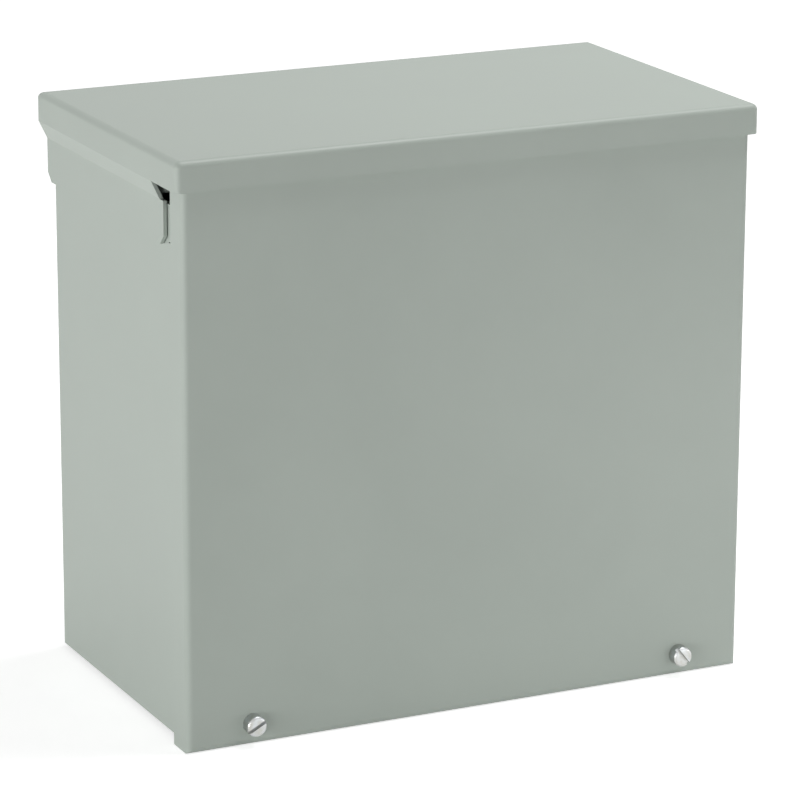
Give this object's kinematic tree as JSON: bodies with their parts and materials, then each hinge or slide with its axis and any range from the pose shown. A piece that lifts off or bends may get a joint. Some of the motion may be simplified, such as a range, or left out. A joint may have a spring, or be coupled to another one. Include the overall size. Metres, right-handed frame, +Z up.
{
  "type": "rainproof junction box",
  "caption": "Wall-mounted rainproof sheet-steel box with a folded drip cap and a slip-on front cover held by captive screws along its bottom edge.",
  "frame": {"origin": "centre of the four wall holes, on the wall's face", "axes": "+Z up, +Y into the wall, so the cover faces -Y, and +X to the right of a person facing the cover"},
  "size_m": [0.2656, 0.1565, 0.2498],
  "materials": {
    "grey_powder_paint": "satin polyester powder paint over galvanised sheet steel",
    "white_powder_paint": "satin white powder paint over sheet steel",
    "zinc_plated_steel": "bright zinc plate",
    "brass": "plain",
    "tinned_aluminium": "tin plate over aluminium",
    "retainer_plastic": "natural nylon"
  },
  "bodies": {
    "enclosure": {"body_shell": "grey_powder_paint", "bottom_panel": "grey_powder_paint", "drip_cap": "grey_powder_paint", "top_header": "grey_powder_paint", "mounting_panel": "white_powder_paint", "panel_stud_1": "zinc_plated_steel", "panel_washer_1": "zinc_plated_steel", "panel_nut_1": "zinc_plated_steel", "panel_stud_2": "zinc_plated_steel", "panel_washer_2": "zinc_plated_steel", "panel_nut_2": "zinc_plated_steel", "panel_stud_3": "zinc_plated_steel", "panel_washer_3": "zinc_plated_steel", "panel_nut_3": "zinc_plated_steel", "panel_stud_4": "zinc_plated_steel", "panel_washer_4": "zinc_plated_steel", "panel_nut_4": "zinc_plated_steel", "ground_stud": "zinc_plated_steel", "ground_washer": "zinc_plated_steel", "ground_nut": "brass", "ground_lug": "tinned_aluminium", "lug_screw": "zinc_plated_steel"},
    "cover": {"front_cover": "grey_powder_paint"},
    "left_screw": {"cover_screw_left": "zinc_plated_steel", "screw_retainer_left": "retainer_plastic"},
    "right_screw": {"cover_screw_right": "zinc_plated_steel", "screw_retainer_right": "retainer_plastic"}
  },
  "joints": [
    {"name": "cover_tilt", "type": "hinge", "parent": "enclosure", "child": "cover", "pos_m": [0, -0.1511, 0.1117], "axis": [-1, 0, 0], "range_deg": [0, 25]},
    {"name": "left_screw_turn", "type": "hinge", "parent": "cover", "child": "left_screw", "pos_m": [-0.1005, -0.1511, -0.1158], "axis": [0, -1, 0], "continuous": true},
    {"name": "right_screw_turn", "type": "hinge", "parent": "cover", "child": "right_screw", "pos_m": [0.1005, -0.1511, -0.1158], "axis": [0, -1, 0], "continuous": true}
  ]
}
